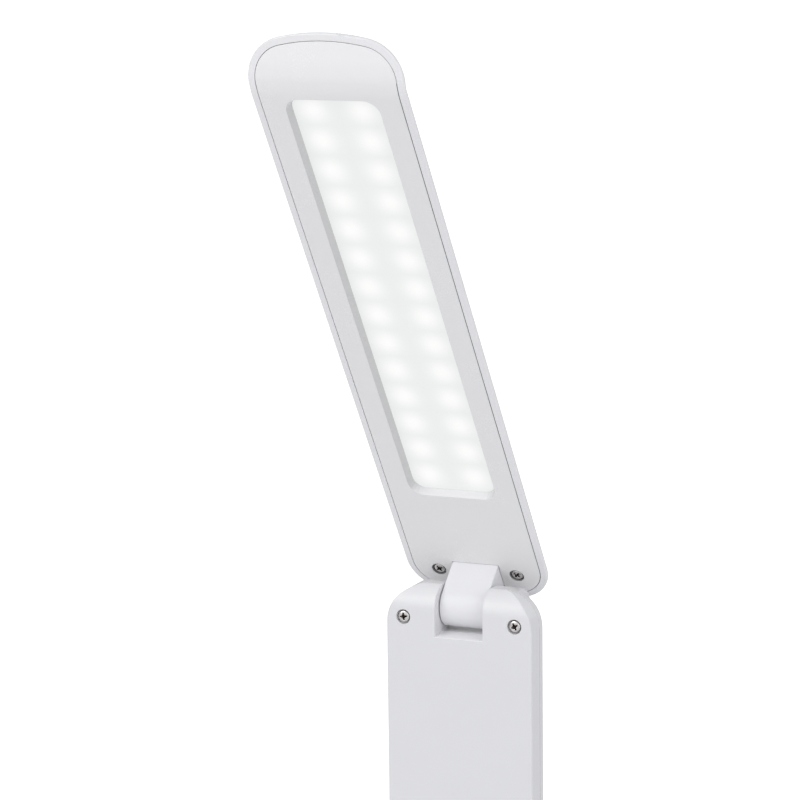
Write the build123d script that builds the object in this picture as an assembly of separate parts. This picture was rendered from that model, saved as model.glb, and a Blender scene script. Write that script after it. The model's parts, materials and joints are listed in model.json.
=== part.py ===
"""Folding LED desk lamp: weighted base, flat two-shell arm and a tilting light head.

Millimetres, +Z up. The origin is the centre of the rubber pad's underside, and the
light side of the lamp faces -Y. The arm stands upright and the head leans forward.
Each piece is a separate solid, written to parts/NODE.step under its own name.
"""
from build123d import *
import math
import os

# ---------------------------------------------------------------- driving sizes
# base
BASE_W, BASE_D = 118.0, 150.0        # plan size, across and front to back
BASE_TOP = 19.0                      # height of the flat top
BASE_CORNER_R = 16.0
BASE_EDGE_R = 4.0                    # round along the top edge
BASE_WALL = 2.5
PAD_T, PAD_INSET, PAD_RECESS = 2.0, 5.0, 1.0
COVER_T = 3.0                        # bottom cover
COVER_GAP = 0.15                     # seam between cover and shell
COVER_BOSS = 1.5                     # screw bosses above the cover
PEDESTAL_D, PEDESTAL_EDGE_R = 28.0, 3.0
PEDESTAL_CLEAR = 2.5                 # swinging arm end to pedestal top
HINGE_FROM_BACK = 25.0               # lower hinge axis, from the base's back
PEDESTAL_CORNER_R = 8.0
POST_FLANGE_D, POST_FLANGE_T, POST_FLANGE_CORNER_R = 20.0, 3.0, 4.0
POST_SCREW_X, POST_SCREW_LENGTH = 19.0, 4.8
BASE_SCREW_INSET, BASE_SCREW_LENGTH = 14.0, 8.5
WEIGHT_SIDE, WEIGHT_H, WEIGHT_CORNER = 11.0, 8.0, 3.0  # from the base's side, height, corner
WEIGHT_SCREW_INSET_X, WEIGHT_SCREW_INSET_Y = 8.0, 7.0
BOARD_TO_WEIGHT = 2.0

# arm
ARM_W, ARM_T = 56.0, 14.5
ARM_BEYOND_HEAD = 23.5               # folded head's tip to the lower hinge axis
ARM_END = 8.2                        # from a hinge axis to the arm's end
ARM_CORNER_R = 13.5
ARM_END_FRONT_R = 8.6                # round where the front face turns into the end
ARM_BACK_R = 4.5
ARM_FRONT_EDGE_R = 0.7
ARM_SCREW_LENGTH = 10.5
ARM_WALL = 2.2
ARM_FRONT_DEPTH = 8.0                # depth of the front shell, to the parting seam
AXIS_DEPTH = 11.4                    # hinge axis behind the arm's front face
ARM_SCREW_BELOW = 3.2                # screws to the hinge axis, along the arm
ARM_SCREW_GAP = 0.3                  # screw boss to the end of the hinge pin
FLOOR_GAP_FRONT, FLOOR_GAP_BACK = 1.9, 0.7  # hinge barrel to the notch's floor
HUMP_GAP, HUMP_EDGE_R = 0.4, 1.5     # beyond the hinge pin, and the hump's rounded ends

# head
HEAD_NARROWER, HEAD_T = 1.6, 10.5     # than the arm; thickness
HEAD_TIP, HEAD_TAIL = 242.5, 6.7     # tip and tail, measured from the hinge axis
HEAD_TIP_ARC_R, HEAD_TIP_CORNER_R, HEAD_TAIL_CORNER_R = 75.0, 14.6, 15.0
HEAD_SIDE, HEAD_BEVEL, HEAD_RIM_R = 1.5, 7.4, 0.6  # side wall, and the bevel from it to the back
HEAD_TILT = 33.8                     # forward lean in degrees, as the lamp is used
FOLD_GAP, BASE_FOLD_GAP = 0.6, 0.8   # folded head to arm, and folded head to base
TIP_LENGTH, TIP_SLOPE, TIP_BEND_R = 18.0, 22.0, 22.0  # the underside bends back before the tip
BEZEL_T, BEZEL_RIM, BEZEL_GAP = 2.0, 2.5, 0.15
HEAD_WALL, HEAD_LEDGE = 2.0, 0.8
WINDOW_SIDE, WINDOW_START, WINDOW_TIP = 10.7, 43.3, 21.5  # to the head's side, axis and tip
WINDOW_R, WINDOW_DEPTH, WINDOW_DRAFT = 5.5, 3.0, 1.0
DIFFUSER_T, DIFFUSER_LAP = 1.5, 3.0
BOARD_T, SPREADER_T = 1.0, 0.5
LED_PITCH, LED_COLUMNS, LED_MARGIN, LED_END = 12.59, 17.5, 7.7, 3.0
LED_SIZE = (3.5, 0.7, 2.8)
HEAD_SCREW_GAP, HEAD_SCREW_U, HEAD_SCREW_LENGTH = 1.9, 4.9, 7.0  # beside the knuckle, along
FLANGE_BEYOND, FLANGE_LENGTH, FLANGE_T, FLANGE_CORNER_R = 2.9, 12.0, 2.0, 3.0
COLLAR_W, SCREW_RING_WALL = 4.0, 1.5  # bezel's thick border round the window and round a screw
BOARD_INSET, SPREADER_LAP, BOARD_MARGIN = 1.5, 2.0, 2.0

# hinges: the same hardware at both ends of the arm
KNUCKLE_W, BARREL_R, KNUCKLE_EDGE_R = 17.7, 7.7, 0.4
NOTCH_GAP = 0.35                     # each side of the knuckle
NECK_BEYOND, NECK_TAIL = 1.7, 1.0    # neck of the head's knuckle, past the barrel and below the axis
PIN_R, PIN_INNER_X = 3.0, 2.0
PIVOT_R, PIVOT_BORE_R, PIVOT_INNER_X = 3.5, 2.2, 4.2
RUNNING = 0.05                       # radial running clearance of a pin in its hole
EAR_GAP, EAR_T, EAR_R = 0.4, 1.2, 5.5  # beside the arm's notch wall
PLATE_T, PLATE_GAP, PLATE_REACH, PLATE_CORNER_R = 1.5, 1.8, 10.0, 2.0
WASHER_T, WASHER_R = 0.5, 5.3
DISC_T, DISC_RISE, DISC_COUNT = 0.5, 0.3, 2
NUT_AF, NUT_T = 9.0, 2.6
CLIP_T, CLIP_R, CLIP_GROOVE, CLIP_MOUTH = 0.6, 5.0, 0.4, 3.2
SIDE_GAP = 0.1                       # beside a hinge's clip, and beside the base's hinge post

# fasteners and wiring
SCREW_HEAD_R, SCREW_HEAD_H, SCREW_R = 2.3, 1.3, 1.1
SCREW_TIP, SCREW_CROWN_R, SCREW_FREE = 1.0, 0.5, 0.2
POCKET_GAP, POCKET_DEEPER = 0.4, 0.2  # round a screw's head, and above it
CROSS_L, CROSS_W, CROSS_DEPTH = 2.6, 0.6, 0.8
BOSS_WALL, WIDE_BOSS_WALL = 2.1, 1.3  # round the thread, and round a pocket
WIRE_R, WIRE_BEND, TIGHT_BEND = 0.9, 3.0, 2.15

# controls
BUTTON_FROM_FRONT, BUTTON_R, BUTTON_GAP, BUTTON_PROUD = 25.0, 8.0, 0.3, 0.3
BUTTON_LIP, BUTTON_LIP_T, BUTTON_EDGE_R, BUTTON_STEM_R = 1.8, 1.2, 0.5, 2.35
BUTTON_DISH_R, BUTTON_DISH_DEPTH = 60.0, 0.45
CONTROL_W, CONTROL_D, CONTROL_T, CONTROL_Z = 44.0, 34.0, 1.6, 8.0
CONTROL_SCREW_INSET, CONTROL_SCREW_LENGTH = 4.0, 6.5
SWITCH_SIZE, SWITCH_H, PLUNGER_R, PLUNGER_PROUD = 6.0, 3.5, 1.75, 1.0
PLUNGER_HOLE, PLUNGER_IN = 2.0, 1.2
JACK_TO_BOSS, JACK_W, JACK_H, JACK_DEPTH, JACK_LIFT = 1.0, 9.0, 9.0, 13.0, 0.3
JACK_BORE_R, JACK_PIN_R, JACK_BORE_DEPTH, JACK_NECK_WALL = 2.85, 1.0, 9.5, 1.0
CRADLE_WALL, CRADLE_H = 1.5, 5.0

# ---------------------------------------------------------------- places
HEAD_W = ARM_W - HEAD_NARROWER
PEDESTAL_W = ARM_W
LOWER_AXIS_Y = BASE_D / 2 - HINGE_FROM_BACK
BUTTON_Y = BUTTON_FROM_FRONT - BASE_D / 2
ARM_LENGTH = HEAD_TIP + ARM_BEYOND_HEAD          # from the lower hinge axis to the upper one
CREASE = HEAD_TIP - TIP_LENGTH * math.cos(math.radians(TIP_SLOPE))  # where the two slopes meet
WINDOW_HALF_W = HEAD_W / 2 - WINDOW_SIDE
WINDOW_END = HEAD_TIP - WINDOW_TIP
LED_FIRST = WINDOW_START + LED_MARGIN
LED_ROWS = int((WINDOW_END - LED_END - LED_FIRST) / LED_PITCH) + 1
BOARD_HALF_W, SPREADER_HALF_W = WINDOW_HALF_W - BOARD_INSET, WINDOW_HALF_W + SPREADER_LAP
NECK_TOP = BARREL_R + NECK_BEYOND
SCREW_POCKET_R, SCREW_POCKET_DEPTH = SCREW_HEAD_R + POCKET_GAP, SCREW_HEAD_H + POCKET_DEEPER
BOSS_R, WIDE_BOSS_R = SCREW_R + BOSS_WALL, SCREW_POCKET_R + WIDE_BOSS_WALL
SCREW_RING_R = SCREW_POCKET_R + SCREW_RING_WALL
HEAD_SCREW_X = KNUCKLE_W / 2 + BEZEL_GAP + SCREW_RING_R + HEAD_SCREW_GAP
FLANGE_HALF_W = HEAD_SCREW_X + FLANGE_BEYOND
JACK_X = WIDE_BOSS_R + JACK_TO_BOSS + CRADLE_WALL + JACK_W / 2 + BASE_SCREW_INSET - BASE_W / 2
HEAD_OFFSET = AXIS_DEPTH + FOLD_GAP              # hinge axis to the head's underside
HEAD_BACK = HEAD_OFFSET + HEAD_T
LOWER_AXIS_Z = BASE_TOP + HEAD_BACK + BASE_FOLD_GAP
UPPER_AXIS_Z = LOWER_AXIS_Z + ARM_LENGTH
ARM_FRONT = -AXIS_DEPTH                          # arm depths, from the hinge axes
ARM_BACK = ARM_FRONT + ARM_T
PARTING = ARM_FRONT + ARM_FRONT_DEPTH
NOTCH_HALF_W = KNUCKLE_W / 2 + NOTCH_GAP
NOTCH_FLOOR_FRONT, NOTCH_FLOOR_BACK = BARREL_R + FLOOR_GAP_FRONT, BARREL_R + FLOOR_GAP_BACK
EAR_X = NOTCH_HALF_W + ARM_WALL + EAR_GAP        # inner face of a hinge bracket's ear
DISC_STEP = DISC_T + DISC_RISE
PIN_END = EAR_X + EAR_T + WASHER_T + DISC_COUNT * DISC_STEP + NUT_T + 2 * SIDE_GAP
HUMP_HALF_W = PIN_END + ARM_WALL + HUMP_GAP
ARM_SCREW_X = PIN_END + BOSS_R + ARM_SCREW_GAP
WEIGHT_W = BASE_W - 2 * WEIGHT_SIDE
WEIGHT_D = -2 * (BUTTON_Y + CONTROL_D / 2 + BOARD_TO_WEIGHT)
HUMP_R = ARM_END
SWING_R = math.hypot(AXIS_DEPTH - ARM_END_FRONT_R, ARM_END - ARM_END_FRONT_R) + ARM_END_FRONT_R
PEDESTAL_TOP = LOWER_AXIS_Z - SWING_R - PEDESTAL_CLEAR
COVER_BOTTOM = PAD_T - PAD_RECESS
COVER_TOP = COVER_BOTTOM + COVER_T
PLATE_Y = PARTING - PLATE_T                      # front of a hinge bracket's plate
BOARD_Y = HEAD_BACK - HEAD_WALL - SPREADER_T - BOARD_T
DIFFUSER_Y = HEAD_OFFSET + WINDOW_DEPTH
PIVOT_END = EAR_X + EAR_T + SIDE_GAP + CLIP_T + CLIP_GROOVE
FAR = 400.0                                      # longer than anything here

HEAD_PLACE = Pos(0, LOWER_AXIS_Y, UPPER_AXIS_Z) * Rot(HEAD_TILT, 0, 0)
UPPER_PLACE = Pos(0, LOWER_AXIS_Y, UPPER_AXIS_Z)
LOWER_PLACE = Pos(0, LOWER_AXIS_Y, LOWER_AXIS_Z)


# ---------------------------------------------------------------- shape helpers
def block(x0, x1, y0, y1, z0, z1):
    """Box from its lowest to its highest corner."""
    return Pos((x0 + x1) / 2, (y0 + y1) / 2, (z0 + z1) / 2) * Box(x1 - x0, y1 - y0, z1 - z0)


def rod_x(radius, x0, x1, y=0.0, z=0.0):
    """Cylinder along X."""
    return Pos((x0 + x1) / 2, y, z) * Rot(0, 90, 0) * Cylinder(radius, x1 - x0)


def rod_y(radius, y0, y1, x=0.0, z=0.0):
    """Cylinder along Y."""
    return Pos(x, (y0 + y1) / 2, z) * Rot(90, 0, 0) * Cylinder(radius, y1 - y0)


def rod_z(radius, z0, z1, x=0.0, y=0.0):
    """Cylinder along Z."""
    return Pos(x, y, (z0 + z1) / 2) * Cylinder(radius, z1 - z0)


def slab(outline, y0, y1):
    """Front-view outline (X across, Z up) given a thickness from y0 to y1."""
    return extrude(Plane.XZ.offset(-y1) * outline, amount=y1 - y0)


def side_prism(points, half_w):
    """Side-view polygon of (Y, Z) points, half_w to each side of the middle."""
    return extrude(Plane.YZ.offset(-half_w) * make_face(Polyline(*points, close=True)), amount=2 * half_w)


def front_rim(body, limit_y):
    """Edges round the front, without the smooth lines that run front to back or right across."""
    rim = []
    for edge in body.edges():
        direction = edge % 0.5
        straight = edge.geom_type == GeomType.LINE
        smooth = straight and (abs(direction.Y) > 0.9 or (abs(direction.X) > 0.9 and edge.length > HEAD_W - 5))
        if edge.center().Y < limit_y and not smooth:
            rim.append(edge)
    return rim


def tangent_point(radius, y, z, side):
    """Where a line from (y, z) touches the circle about (0, 0); side +1 is the upper one."""
    turn = math.atan2(z, y) + side * math.acos(radius / math.hypot(y, z))
    return radius * math.cos(turn), radius * math.sin(turn)


def wire(points, bend):
    """Round wire along straight runs joined by tangent arcs."""
    path = FilletPolyline(*points, radius=bend)
    return sweep(Plane(origin=path @ 0, z_dir=path % 0) * Circle(WIRE_R), path=path)


def screw(length):
    """Small pan-head screw with a cross recess; its head's top is at z = 0, pointing up."""
    head = rod_z(SCREW_HEAD_R, -SCREW_HEAD_H, 0)
    head = fillet(head.edges().group_by(Axis.Z)[-1], SCREW_CROWN_R)
    slot = Box(CROSS_L, CROSS_W, 2 * CROSS_DEPTH)
    cross = slot + Rot(0, 0, 90) * slot
    shank = rod_z(SCREW_R, -length, -SCREW_HEAD_H)
    tip = Pos(0, 0, -length - SCREW_TIP / 2) * Cone(SCREW_R / 4, SCREW_R, SCREW_TIP)
    return head + shank + tip - cross


# ---------------------------------------------------------------- head
def straight_plan(inset=0.0):
    """Outline of the head's straight part seen square on, run on past the bend."""
    body = Pos(0, (CREASE + TIP_LENGTH - HEAD_TAIL) / 2) * Rectangle(HEAD_W, CREASE + TIP_LENGTH + HEAD_TAIL)
    body = fillet(body.vertices().group_by(Axis.Y)[0], HEAD_TAIL_CORNER_R)
    return offset(body, -inset) if inset else body


def tip_plan(inset=0.0):
    """Outline of the tip seen square on, measured from the crease: arched, rounded corners."""
    half_w = HEAD_W / 2
    shoulder = TIP_LENGTH - HEAD_TIP_ARC_R + math.sqrt(HEAD_TIP_ARC_R ** 2 - half_w ** 2)
    sides = Polyline((-half_w, shoulder), (-half_w, -TIP_LENGTH), (half_w, -TIP_LENGTH), (half_w, shoulder))
    tip = ThreePointArc((half_w, shoulder), (0, TIP_LENGTH), (-half_w, shoulder))
    body = make_face([sides, tip])
    body = fillet(body.vertices().group_by(Axis.Y)[-1], HEAD_TIP_CORNER_R)
    return offset(body, -inset) if inset else body


def bent(straight, tip):
    """The head's straight part and its tip, mitred where the underside bends back."""
    bend = Pos(0, HEAD_OFFSET, CREASE)
    beyond = bend * Rot(-TIP_SLOPE / 2, 0, 0) * block(-HEAD_W, HEAD_W, -FAR, FAR, 0, FAR)
    return (Pos(0, HEAD_OFFSET, 0) * straight - beyond) + (bend * Rot(-TIP_SLOPE, 0, 0) * tip & beyond)


def bent_slab(inset):
    """The head's outline, drawn in by inset, through its whole thickness."""
    return bent(slab(straight_plan(inset), -5, HEAD_T), slab(tip_plan(inset), -5, HEAD_T))


def dish(outline, side, bevel, back):
    """Outline from well in front of the underside to the back, bevelled from the depth side on."""
    body = slab(outline, -5, back)
    face = body.faces().sort_by(Axis.Y)[-1]
    return chamfer(face.edges(), bevel, back - side, reference=face)


def bent_dish(inset, side, bevel, back):
    body = bent(dish(straight_plan(inset), side, bevel, back), dish(tip_plan(inset), side, bevel, back))
    return body & block(-HEAD_W, HEAD_W, 0, HEAD_OFFSET + back, -FAR, FAR)


def behind_underside(depth):
    """Everything more than depth behind the light side, which bends back before the tip."""
    face_y = HEAD_OFFSET + depth
    reach = TIP_BEND_R * math.tan(math.radians(TIP_SLOPE / 2))
    start = Line((face_y, -2 * HEAD_TAIL), (face_y, CREASE - reach))
    bend = JernArc(start @ 1, (0, 1), TIP_BEND_R - depth, -TIP_SLOPE)
    ramp = Line(bend @ 1, bend @ 1 + (bend % 1) * 2 * TIP_LENGTH)
    end = Polyline(ramp @ 1, (FAR, (ramp @ 1).Y), (FAR, -2 * HEAD_TAIL), start @ 0)
    return extrude(Plane.YZ.offset(-HEAD_W) * make_face([start, bend, ramp, end]), amount=2 * HEAD_W)


def underside_rim(body):
    """Edges round the light side, without the lines across it where it bends."""
    edges = [edge for face in body.faces() if face.normal_at().Y < -0.3 for edge in face.edges()]
    return [edge for edge in edges if sum(edge.is_same(other) for other in edges) == 1]


def head_envelope():
    body = bent_dish(0, HEAD_SIDE, HEAD_BEVEL, HEAD_T) & behind_underside(0)
    return fillet(underside_rim(body), HEAD_RIM_R)


def head_cavity():
    """Hollow behind the bezel, a wall's thickness inside the back and the bevel."""
    run = HEAD_BEVEL / (HEAD_T - HEAD_SIDE)
    inset, back = BEZEL_RIM + HEAD_LEDGE, HEAD_T - HEAD_WALL
    side = HEAD_SIDE + (inset - HEAD_WALL * math.hypot(1, run)) / run
    return bent_dish(inset, side, run * (back - side), back)


def window_outline(grow=0.0):
    """Light window at its foot, grown by an even margin."""
    half_w = WINDOW_HALF_W - WINDOW_DRAFT + grow
    low, high = WINDOW_START + WINDOW_DRAFT - grow, WINDOW_END - WINDOW_DRAFT + grow
    return Pos(0, (low + high) / 2) * RectangleRounded(2 * half_w, high - low, WINDOW_R - WINDOW_DRAFT + grow)


def head_screw_sites():
    return [(side * HEAD_SCREW_X, HEAD_SCREW_U) for side in (-1, 1)]


def neck_profile():
    """Side view of the head knuckle's neck, from the barrel to inside the head."""
    foot = DIFFUSER_Y
    upper = tangent_point(BARREL_R, HEAD_OFFSET, NECK_TOP, 1)
    lower = tangent_point(BARREL_R, HEAD_OFFSET, -NECK_TAIL, -1)
    return [upper, (HEAD_OFFSET, NECK_TOP), (foot, NECK_TOP), (foot, -NECK_TAIL),
            (HEAD_OFFSET, -NECK_TAIL), lower, (0, 0)]


def rounded_sides(knuckle):
    """A knuckle with the edges of its two flat sides rounded."""
    edges = []
    for side in (-1, 1):
        flat = knuckle.faces().filter_by(Axis.X).filter_by_position(Axis.X, side * KNUCKLE_W / 2 - 0.1,
                                                                    side * KNUCKLE_W / 2 + 0.1)
        edges += [edge for face in flat for edge in face.edges()]
    return fillet(edges, KNUCKLE_EDGE_R)


def make_head():
    envelope = head_envelope()
    pocket = bent_slab(BEZEL_RIM) - behind_underside(BEZEL_T)
    shell = envelope - pocket - head_cavity()
    floor = HEAD_BACK - HEAD_WALL
    flange_y = DIFFUSER_Y
    for x, u in head_screw_sites():
        shell += rod_y(BOSS_R, flange_y + FLANGE_T, floor + HEAD_WALL / 2, x, u)
        shell -= rod_y(SCREW_R, flange_y, floor, x, u)

    bezel = (envelope & bent_slab(BEZEL_RIM + BEZEL_GAP)) - behind_underside(BEZEL_T)
    bezel += slab(window_outline(COLLAR_W), HEAD_OFFSET + BEZEL_T / 2, DIFFUSER_Y)
    draft = math.degrees(math.atan(WINDOW_DRAFT / WINDOW_DEPTH))
    opening = extrude(Plane.XZ.offset(-DIFFUSER_Y) * window_outline(), amount=WINDOW_DEPTH, taper=-draft)
    bezel -= opening
    neck_hole = block(-KNUCKLE_W / 2 - BEZEL_GAP, KNUCKLE_W / 2 + BEZEL_GAP, 0, HEAD_BACK,
                      -NECK_TAIL - BEZEL_GAP, NECK_TOP + BEZEL_GAP)
    for x, u in head_screw_sites():
        bezel += rod_y(SCREW_RING_R, HEAD_OFFSET + BEZEL_T / 2, flange_y, x, u)
        bezel -= rod_y(SCREW_POCKET_R, 0, HEAD_OFFSET + SCREW_POCKET_DEPTH, x, u)
        bezel -= rod_y(SCREW_R + SCREW_FREE, 0, flange_y, x, u)
    bezel -= neck_hole

    knuckle = rod_x(BARREL_R, -KNUCKLE_W / 2, KNUCKLE_W / 2) + side_prism(neck_profile(), KNUCKLE_W / 2)
    knuckle = rounded_sides(knuckle)
    flange = block(-FLANGE_HALF_W, FLANGE_HALF_W, flange_y, flange_y + FLANGE_T, 0, FLANGE_LENGTH)
    knuckle += fillet(flange.edges().filter_by(Axis.Y), FLANGE_CORNER_R)
    for x, u in head_screw_sites():
        knuckle -= rod_y(SCREW_R + SCREW_FREE, flange_y, flange_y + FLANGE_T, x, u)
    knuckle -= rod_x(PIN_R, -KNUCKLE_W, -PIN_INNER_X)
    knuckle -= rod_x(PIVOT_R, PIVOT_INNER_X, KNUCKLE_W)
    knuckle -= rod_x(PIVOT_BORE_R, 0, KNUCKLE_W)
    knuckle -= rod_y(PIVOT_BORE_R, 0, HEAD_BACK, PIVOT_BORE_R)

    diffuser = slab(window_outline(DIFFUSER_LAP), DIFFUSER_Y, DIFFUSER_Y + DIFFUSER_T)
    board = block(-BOARD_HALF_W, BOARD_HALF_W, BOARD_Y, BOARD_Y + BOARD_T,
                  WINDOW_START + BOARD_MARGIN, WINDOW_END - BOARD_MARGIN)
    spreader = block(-SPREADER_HALF_W, SPREADER_HALF_W, BOARD_Y + BOARD_T, floor, WINDOW_START, WINDOW_END)
    leds = []
    for row in range(LED_ROWS):
        for side in (-1, 1):
            site = Pos(side * LED_COLUMNS / 2, BOARD_Y - LED_SIZE[1] / 2, LED_FIRST + row * LED_PITCH)
            leds.append(site * Box(*LED_SIZE))
    screws = []
    for x, u in head_screw_sites():
        top = HEAD_OFFSET + SCREW_POCKET_DEPTH - SCREW_HEAD_H
        screws.append(Pos(x, top, u) * Rot(90, 0, 0) * screw(HEAD_SCREW_LENGTH))

    run_y = BOARD_Y - WIRE_R - SIDE_GAP
    head_wire = wire([(PIVOT_END, 0, 0), (PIVOT_BORE_R, 0, 0), (PIVOT_BORE_R, run_y, 0),
                      (PIVOT_BORE_R, run_y, WINDOW_START + 5)], TIGHT_BEND)
    return {
        "head_top_shell": shell, "head_bezel": bezel, "head_knuckle": knuckle, "diffuser": diffuser,
        "led_board": board, "heat_spreader": spreader, "leds": leds, "head_screws": screws,
        "head_wire": head_wire,
    }


# ---------------------------------------------------------------- arm
def arm_outline(inset=0.0):
    """Front view of the arm about its lower hinge axis, without the notches."""
    height = ARM_LENGTH + 2 * ARM_END - 2 * inset
    return Pos(0, ARM_LENGTH / 2) * RectangleRounded(ARM_W - 2 * inset, height, ARM_CORNER_R - inset)


def notch(grow=0.0):
    """Space for one knuckle at the arm's lower end, open downwards, front and back."""
    past = 2 * ARM_T
    slope = (NOTCH_FLOOR_BACK - NOTCH_FLOOR_FRONT) / ARM_T
    front, back = ARM_FRONT - past, ARM_BACK + past
    floor = [(front, NOTCH_FLOOR_FRONT - slope * past + grow), (back, NOTCH_FLOOR_BACK + slope * past + grow)]
    return side_prism(floor + [(back, -past), (front, -past)], NOTCH_HALF_W + grow)


def at_both_ends(shape):
    """A shape made about the lower axis, and its mirror image about the upper axis."""
    return [shape, Pos(0, 0, ARM_LENGTH) * mirror(shape, Plane.XY)]


def arm_envelopes():
    """The arm's outside in front of the parting seam, and behind it."""
    rear = slab(arm_outline(), PARTING, ARM_BACK)
    rear = fillet(rear.faces().sort_by(Axis.Y)[-1].edges(), ARM_BACK_R)
    front = slab(arm_outline(), ARM_FRONT, PARTING)
    r = ARM_END_FRONT_R
    corner = block(-ARM_W, ARM_W, ARM_FRONT, ARM_FRONT + r, -ARM_END, -ARM_END + r)
    corner -= rod_x(r, -ARM_W, ARM_W, ARM_FRONT + r, -ARM_END + r)
    for cut in at_both_ends(corner):
        front -= cut
    return fillet(front_rim(front, PARTING - ARM_FRONT_EDGE_R), ARM_FRONT_EDGE_R), rear


def arm_screw_sites():
    """Screws at the arm's lower end, from the hinge axis."""
    return [(side * ARM_SCREW_X, ARM_SCREW_BELOW) for side in (-1, 1)]


def make_arm():
    front_solid, rear_solid = arm_envelopes()
    front = front_solid - slab(arm_outline(ARM_WALL), ARM_FRONT + ARM_WALL, PARTING)
    end_r = ARM_END_FRONT_R
    ends = slab(arm_outline(), ARM_FRONT, PARTING) & block(-FAR, FAR, -FAR, FAR, -FAR, -ARM_END + end_r)
    ends -= rod_x(end_r - ARM_WALL, -FAR, FAR, ARM_FRONT + end_r, -ARM_END + end_r)
    for end in at_both_ends(ends):
        front += end & front_solid
    rear = rear_solid - slab(arm_outline(ARM_WALL), PARTING, ARM_BACK - ARM_WALL)

    hump = rod_x(HUMP_R, -HUMP_HALF_W, HUMP_HALF_W)
    hump = fillet(hump.edges().filter_by(GeomType.CIRCLE), HUMP_EDGE_R)
    hump &= slab(arm_outline(), PARTING, FAR)
    hump_hollow = rod_x(HUMP_R - ARM_WALL, -HUMP_HALF_W + ARM_WALL, HUMP_HALF_W - ARM_WALL)
    hump_hollow &= block(-FAR, FAR, PARTING, FAR, -FAR, FAR)
    front_lining = notch(ARM_WALL) & front_solid
    rear_lining = notch(ARM_WALL) & (hump + rear_solid)
    hump -= slab(arm_outline(ARM_WALL), PARTING, ARM_BACK - ARM_WALL)
    for shape in at_both_ends(hump):
        rear += shape
    for shape in at_both_ends(hump_hollow):
        rear -= shape
    for shape in at_both_ends(front_lining):
        front += shape
    for shape in at_both_ends(rear_lining):
        rear += shape

    wall_hole = rod_x(PIVOT_R + NOTCH_GAP, -EAR_X, EAR_X)
    screw_floor = ARM_FRONT + SCREW_POCKET_DEPTH
    for shape in at_both_ends(notch() + wall_hole):
        front -= shape
        rear -= shape
    for x, z in arm_screw_sites():
        for boss in at_both_ends(rod_y(BOSS_R, ARM_FRONT + ARM_WALL / 2, PLATE_Y, x, z) & front_solid):
            front += boss
        for boss in at_both_ends(rod_y(BOSS_R, PARTING, ARM_BACK - ARM_WALL / 2, x, z)):
            rear += boss
        for hole in at_both_ends(rod_y(SCREW_POCKET_R, -FAR, screw_floor, x, z)):
            front -= hole
        for hole in at_both_ends(rod_y(SCREW_R + SCREW_FREE, -FAR, PARTING, x, z)):
            front -= hole
        for hole in at_both_ends(rod_y(SCREW_R, PARTING, ARM_BACK - ARM_WALL + 0.2, x, z)):
            rear -= hole

    screw_top = screw_floor - SCREW_HEAD_H
    lower_screws, upper_screws = [], []
    for x, z in arm_screw_sites():
        lower_screws.append(Pos(x, screw_top, z) * Rot(90, 0, 0) * screw(ARM_SCREW_LENGTH))
        upper_screws.append(Pos(x, screw_top, ARM_LENGTH - z) * Rot(90, 0, 0) * screw(ARM_SCREW_LENGTH))

    run_x = PIVOT_END + WIRE_BEND
    arm_wire = wire([(PIVOT_END, 0, 0), (run_x, 0, 0), (run_x, 0, ARM_LENGTH), (PIVOT_END, 0, ARM_LENGTH)],
                    WIRE_BEND - SIDE_GAP / 2)
    return {
        "arm_front_shell": front, "arm_rear_shell": rear, "lower_arm_screws": lower_screws,
        "upper_arm_screws": upper_screws, "arm_wire": arm_wire,
    }


# ---------------------------------------------------------------- hinge hardware
def disc_spring(x, flip):
    """Conical washer around the X axis."""
    rise = DISC_RISE if flip else -DISC_RISE
    inner, outer = PIN_R + RUNNING, WASHER_R
    points = [(0, inner), (DISC_T, inner), (DISC_T + rise, outer), (rise, outer)]
    ring = revolve(Plane.XY * make_face(Polyline(*points, close=True)), Axis.X)
    return Pos(-x, 0, 0) * Rot(0, 0, 180) * ring


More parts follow.
